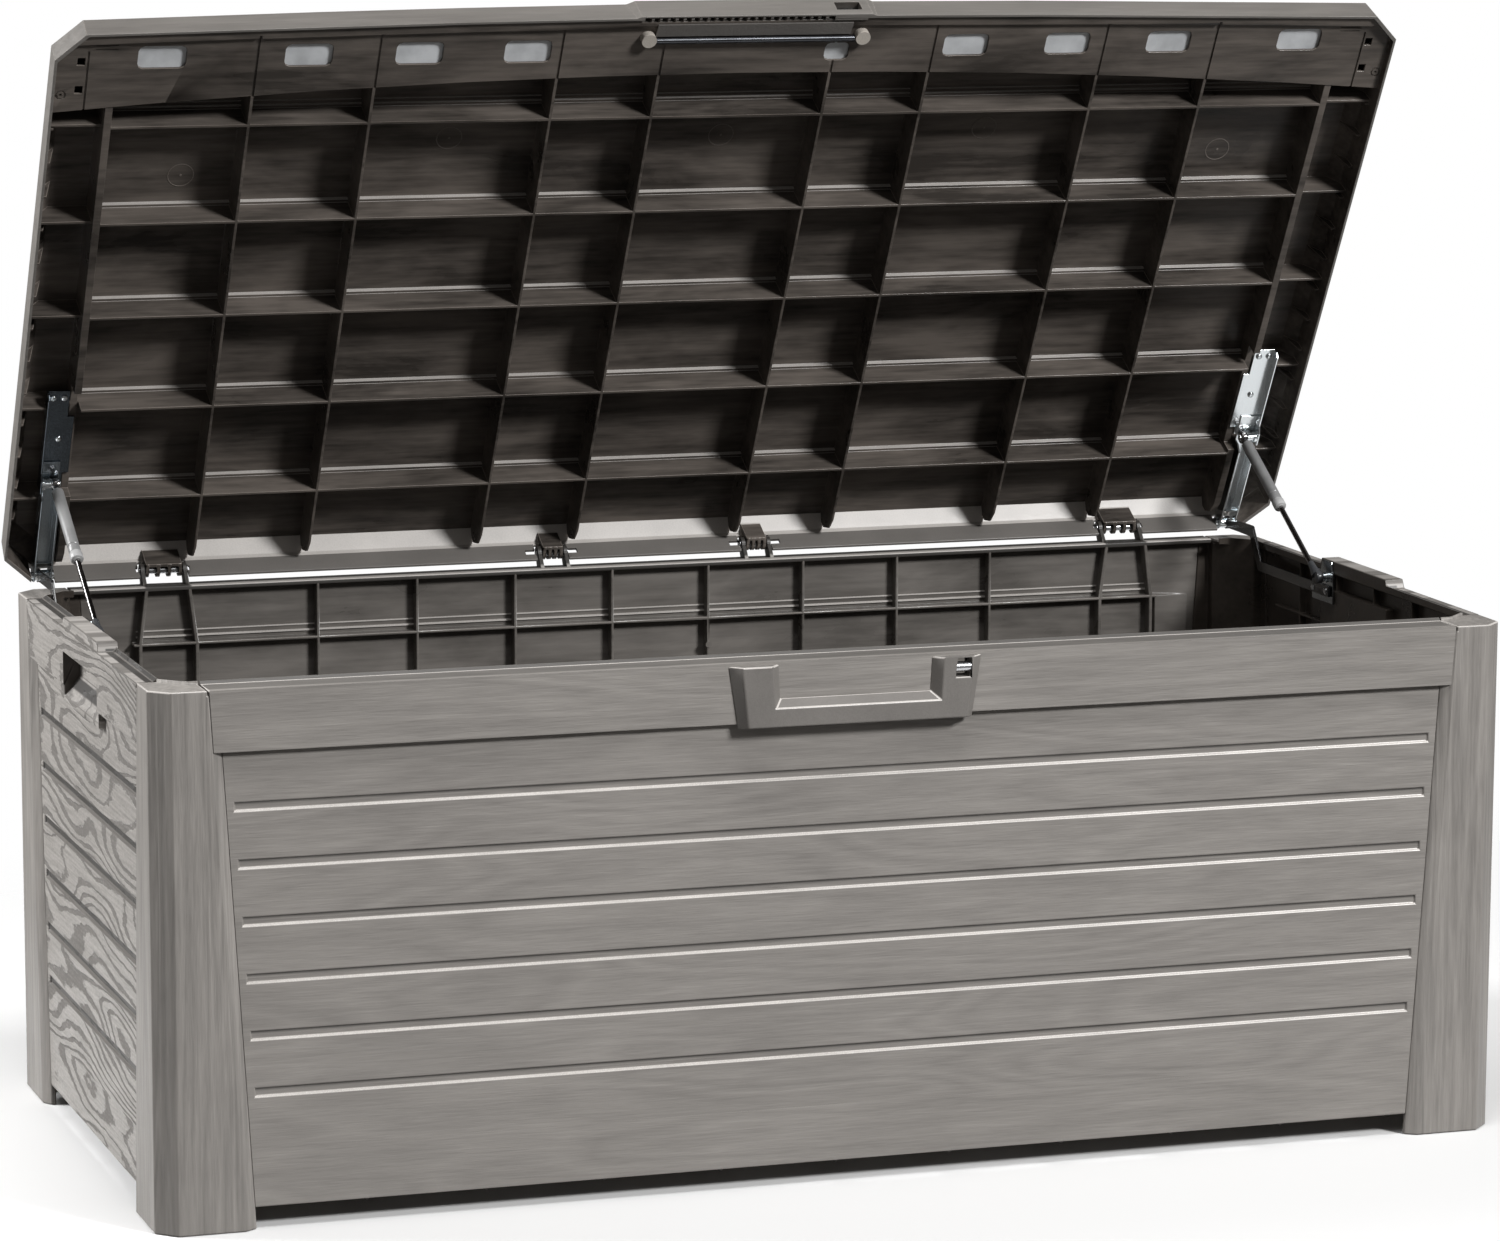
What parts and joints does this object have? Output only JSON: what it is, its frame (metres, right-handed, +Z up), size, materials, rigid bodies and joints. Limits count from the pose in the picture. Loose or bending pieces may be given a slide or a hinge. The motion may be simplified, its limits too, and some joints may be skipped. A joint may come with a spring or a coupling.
{
  "type": "deck storage box",
  "caption": "Long resin deck box with boarded walls on corner posts, a ribbed hinged lid shown open on two gas-strut stays, side hand grips and a padlock point.",
  "frame": {"origin": "on the ground under the middle of the object's bounding box, with the lid at its open stop", "axes": "+X along the box's width, -Y towards its front, +Z up"},
  "size_m": [1.48, 0.7232, 1.1903],
  "materials": {
    "woodgrain_resin": "moulded, embossed wood grain, satin",
    "lid_resin": "moulded, embossed grain outside, smooth inside",
    "plain_resin": "moulded, fine satin",
    "grip_resin": "fine spark-eroded texture",
    "galvanised_steel": "bright zinc",
    "black_steel": "semi-gloss black",
    "strut_paint": "satin grey",
    "chrome_rod": "polished",
    "pin_steel": "drawn bar",
    "bumper_rubber": "soft, matt"
  },
  "bodies": {
    "chest": {"front_panel": "woodgrain_resin", "back_panel": "woodgrain_resin", "side_panel_left": "woodgrain_resin", "side_panel_right": "woodgrain_resin", "floor_panel": "plain_resin", "post_front_left": "woodgrain_resin", "post_front_right": "woodgrain_resin", "post_rear_left": "woodgrain_resin", "post_rear_right": "woodgrain_resin", "latch_frame": "plain_resin", "padlock_pin": "pin_steel", "wall_bracket_rivets": "galvanised_steel", "hinge_pin_outer_left": "pin_steel", "hinge_pin_outer_right": "pin_steel", "hinge_pin_inner_left": "pin_steel", "hinge_pin_inner_right": "pin_steel", "support_arm_left": "black_steel", "support_arm_right": "black_steel", "arm_pivot_pin_left": "galvanised_steel", "arm_pivot_pin_right": "galvanised_steel", "wall_bracket_left": "galvanised_steel", "wall_bracket_right": "galvanised_steel", "wall_stud_left": "galvanised_steel", "wall_stud_right": "galvanised_steel"},
    "lid": {"lid_panel": "lid_resin", "lid_stiffener_bar": "galvanised_steel", "handle_grip": "grip_resin", "handle_rod": "pin_steel", "lid_bumpers": "bumper_rubber", "padlock_plate": "galvanised_steel", "lid_plate_screws": "galvanised_steel", "lid_arm_left": "galvanised_steel", "lid_arm_right": "galvanised_steel", "lid_plate_left": "galvanised_steel", "lid_plate_right": "galvanised_steel", "lid_stud_left": "galvanised_steel", "lid_stud_right": "galvanised_steel"},
    "strut_case_left": {"strut_socket_left": "galvanised_steel", "strut_tube_left": "strut_paint", "strut_gland_left": "strut_paint"},
    "strut_piston_left": {"strut_rod_left": "chrome_rod", "strut_rod_eye_left": "galvanised_steel"},
    "strut_case_right": {"strut_socket_right": "galvanised_steel", "strut_tube_right": "strut_paint", "strut_gland_right": "strut_paint"},
    "strut_piston_right": {"strut_rod_right": "chrome_rod", "strut_rod_eye_right": "galvanised_steel"}
  },
  "joints": [
    {"name": "lid_hinge", "type": "hinge", "parent": "chest", "child": "lid", "pos_m": [0, 0.33922, 0.5602], "axis": [1, 0, 0], "range_deg": [0, 60]},
    {"name": "strut_turn_left", "type": "hinge", "parent": "lid", "child": "strut_case_left", "pos_m": [-0.69, 0.27715, 0.66731], "axis": [1, 0, 0], "range_deg": [-83.05, 0.6]},
    {"name": "strut_slide_left", "type": "slide", "parent": "strut_case_left", "child": "strut_piston_left", "axis": [0, 0.8591, 0.5118], "range_m": [-0.0005, 0.09653]},
    {"name": "strut_turn_right", "type": "hinge", "parent": "lid", "child": "strut_case_right", "pos_m": [0.69, 0.27715, 0.66731], "axis": [1, 0, 0], "range_deg": [-83.05, 0.6]},
    {"name": "strut_slide_right", "type": "slide", "parent": "strut_case_right", "child": "strut_piston_right", "axis": [0, 0.8591, 0.5118], "range_m": [-0.0005, 0.09653]}
  ],
  "couplings": [
    {"joint": "strut_turn_left", "follows": "lid_hinge", "ratio": -1.3742},
    {"joint": "strut_slide_left", "follows": "lid_hinge", "m_per_rad": 0.091605},
    {"joint": "strut_turn_right", "follows": "lid_hinge", "ratio": -1.3742},
    {"joint": "strut_slide_right", "follows": "lid_hinge", "m_per_rad": 0.091605}
  ]
}
